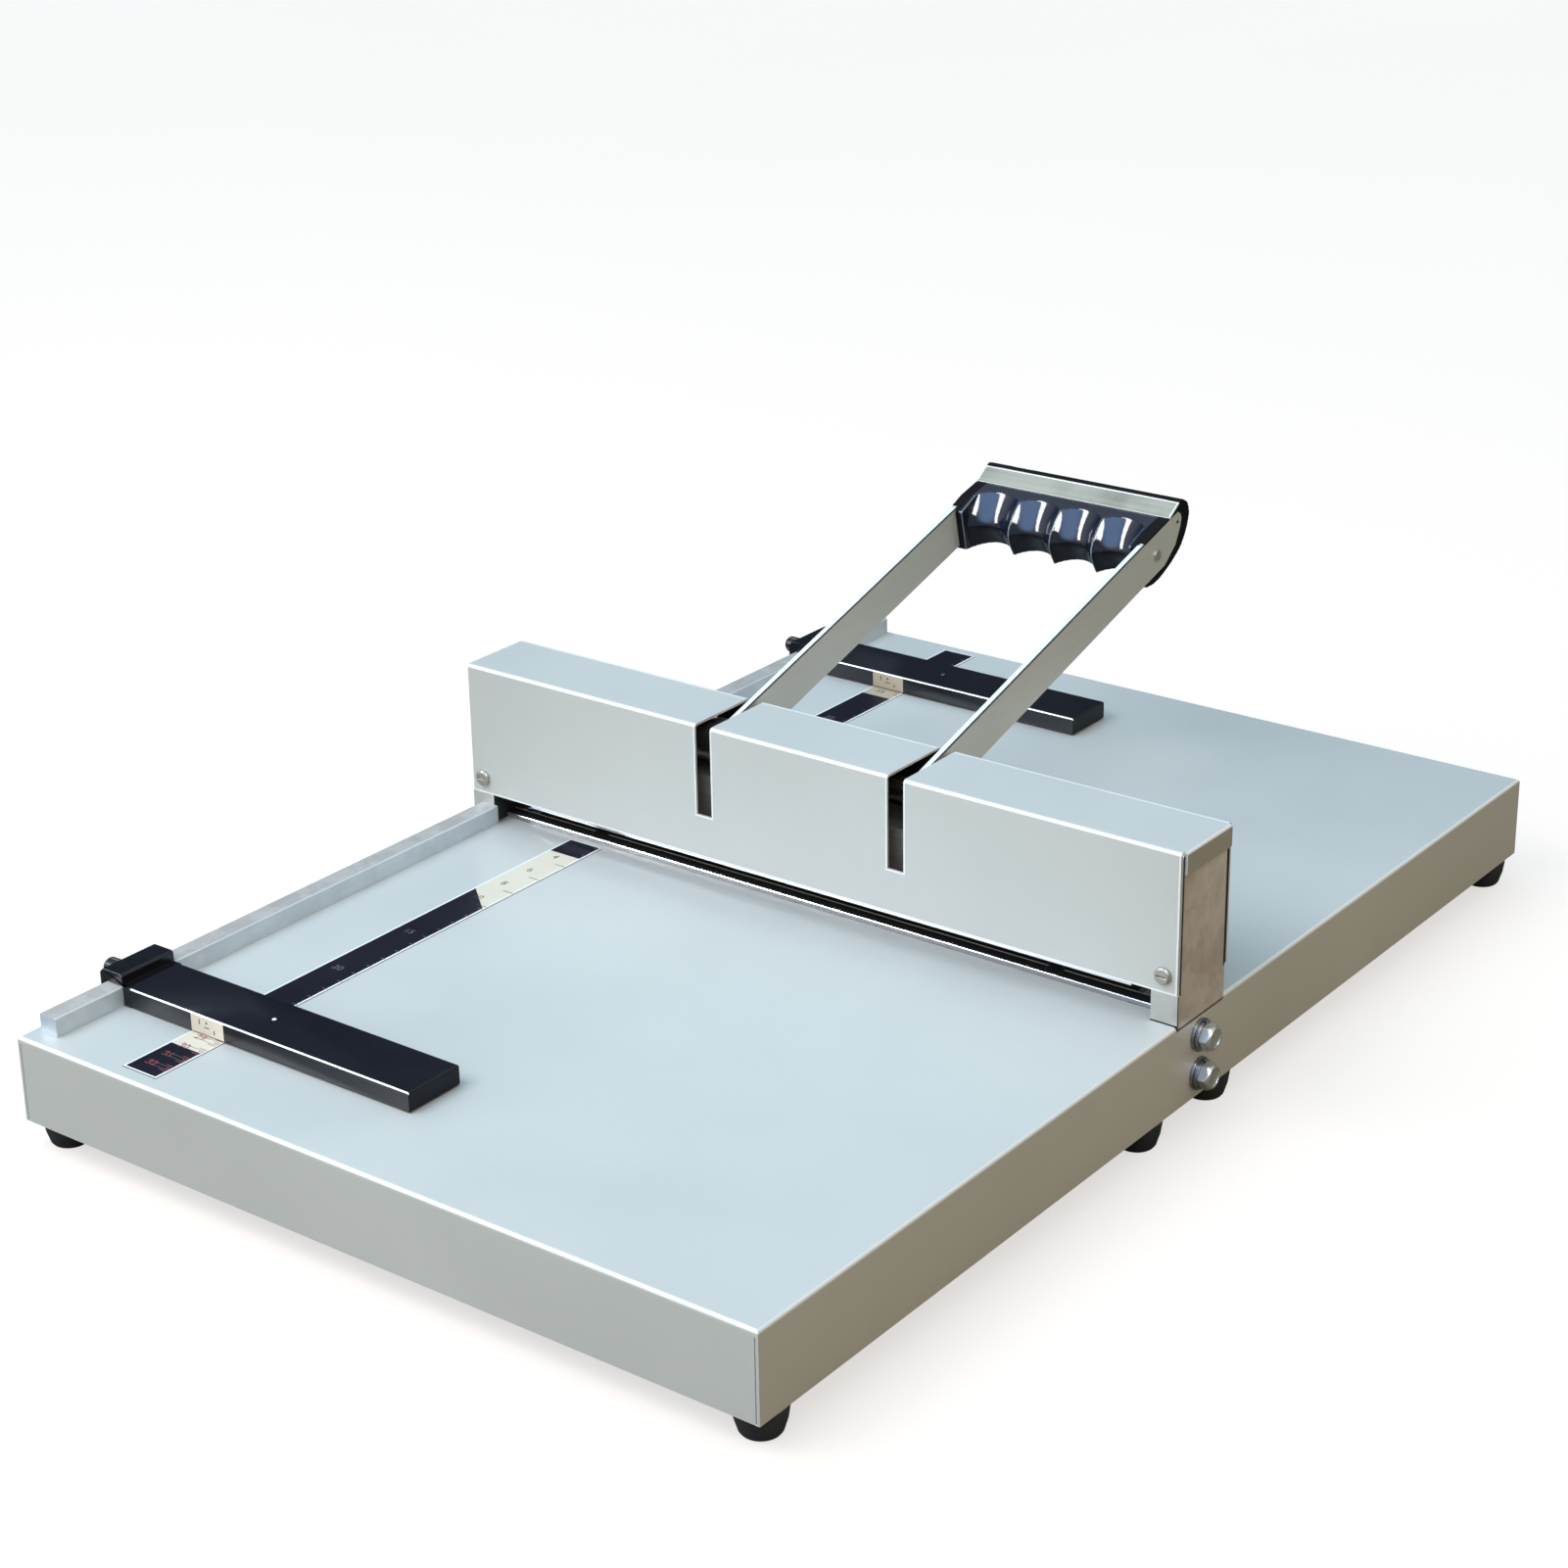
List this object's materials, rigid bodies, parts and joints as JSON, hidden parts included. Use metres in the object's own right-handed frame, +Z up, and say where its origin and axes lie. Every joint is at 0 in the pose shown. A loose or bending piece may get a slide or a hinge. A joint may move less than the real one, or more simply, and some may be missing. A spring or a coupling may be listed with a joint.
{
  "type": "paper creasing machine",
  "caption": "Desktop creaser: flat sheet-metal table with a side rail, rulers and sliding paper stops, and a covered head whose swing-over handle presses a creasing blade onto a die.",
  "frame": {"origin": "on the floor, under the middle of the table", "axes": "+X to the operator's right, +Y away from the operator, in which the sheet travels, +Z up"},
  "size_m": [0.4499, 0.676, 0.2141],
  "materials": {
    "sheet_paint": "satin light grey coat on folded sheet",
    "frame_steel": "dull ground steel plate",
    "machined_steel": "machined steel, lightly oiled",
    "tool_steel": "bright ground tool steel",
    "spring_steel": "plain spring wire",
    "zinc_fastener": "bright zinc plate",
    "aluminium": "plain drawn aluminium",
    "bronze": "sintered bronze",
    "rubber": "matte black rubber",
    "ruler_strip": "printed black strip",
    "stop_black": "glossy black",
    "grip_plastic": "glossy blue-black moulding"
  },
  "bodies": {
    "base": {"base_tray": "sheet_paint", "foot_front_left": "rubber", "foot_front_right": "rubber", "foot_mid_front_left": "rubber", "foot_mid_front_right": "rubber", "foot_mid_rear_left": "rubber", "foot_mid_rear_right": "rubber", "foot_rear_left": "rubber", "foot_rear_right": "rubber", "foot_screws": "zinc_fastener", "foot_nuts": "zinc_fastener", "bed_beam": "machined_steel", "creasing_die": "tool_steel", "die_screws": "zinc_fastener", "side_frame_left": "frame_steel", "side_frame_right": "frame_steel", "shaft_bush_left": "bronze", "shaft_bush_right": "bronze", "frame_bolts": "zinc_fastener", "frame_washers": "zinc_fastener", "frame_spring_washers": "zinc_fastener", "head_cover": "sheet_paint", "cover_screws": "zinc_fastener", "cover_spacers": "zinc_fastener", "spring_guide_left": "machined_steel", "spring_guide_right": "machined_steel", "rail_screws": "zinc_fastener", "side_lay_rail_front": "aluminium", "side_lay_rail_rear": "aluminium", "ruler_front": "ruler_strip", "ruler_rear": "ruler_strip", "return_spring_left": "spring_steel", "return_spring_right": "spring_steel"},
    "handle": {"cam_shaft": "machined_steel", "handle_arm_left": "frame_steel", "handle_arm_right": "frame_steel", "arm_hub_left": "machined_steel", "arm_hub_right": "machined_steel", "cam_left": "machined_steel", "cam_right": "machined_steel", "set_screws": "machined_steel", "grip_body": "grip_plastic", "grip_strip": "aluminium", "grip_rivets": "zinc_fastener"},
    "blade_carrier": {"blade_beam": "machined_steel", "creasing_blade": "tool_steel", "blade_screws": "zinc_fastener", "wear_pad_left": "bronze", "wear_pad_right": "bronze"},
    "front_stop": {"front_stop_bar": "stop_black", "front_stop_block": "stop_black", "front_stop_rivet": "zinc_fastener"},
    "rear_stop": {"rear_stop_bar": "stop_black", "rear_stop_block": "stop_black", "rear_stop_rivet": "zinc_fastener"},
    "front_knob": {"front_stop_knob": "stop_black"},
    "rear_knob": {"rear_stop_knob": "stop_black"}
  },
  "joints": [
    {"name": "handle_turn", "type": "hinge", "parent": "base", "child": "handle", "pos_m": [0, 0, 0.1276], "axis": [1, 0, 0], "range_deg": [0, 163.4]},
    {"name": "blade_press", "type": "slide", "parent": "base", "child": "blade_carrier", "axis": [0, 0, -1], "range_m": [0, 0.00471], "stiffness_N_per_m": 20000, "springref_m": -0.0035, "deforming": ["return_spring_left", "return_spring_right"]},
    {"name": "front_stop_slide", "type": "slide", "parent": "base", "child": "front_stop", "axis": [0, 1, 0], "range_m": [-0.04, 0.23]},
    {"name": "rear_stop_slide", "type": "slide", "parent": "base", "child": "rear_stop", "axis": [0, 1, 0], "range_m": [-0.23, 0.04]},
    {"name": "front_knob_turn", "type": "hinge", "parent": "front_stop", "child": "front_knob", "pos_m": [-0.2197, -0.271, 0.0644], "axis": [1, 0, 0], "range_deg": [-180, 180]},
    {"name": "rear_knob_turn", "type": "hinge", "parent": "rear_stop", "child": "rear_knob", "pos_m": [-0.2197, 0.271, 0.0644], "axis": [1, 0, 0], "range_deg": [-180, 180]}
  ],
  "couplings": [
    {"joint": "blade_press", "follows": "handle_turn", "m_per_rad": 0.001648}
  ]
}
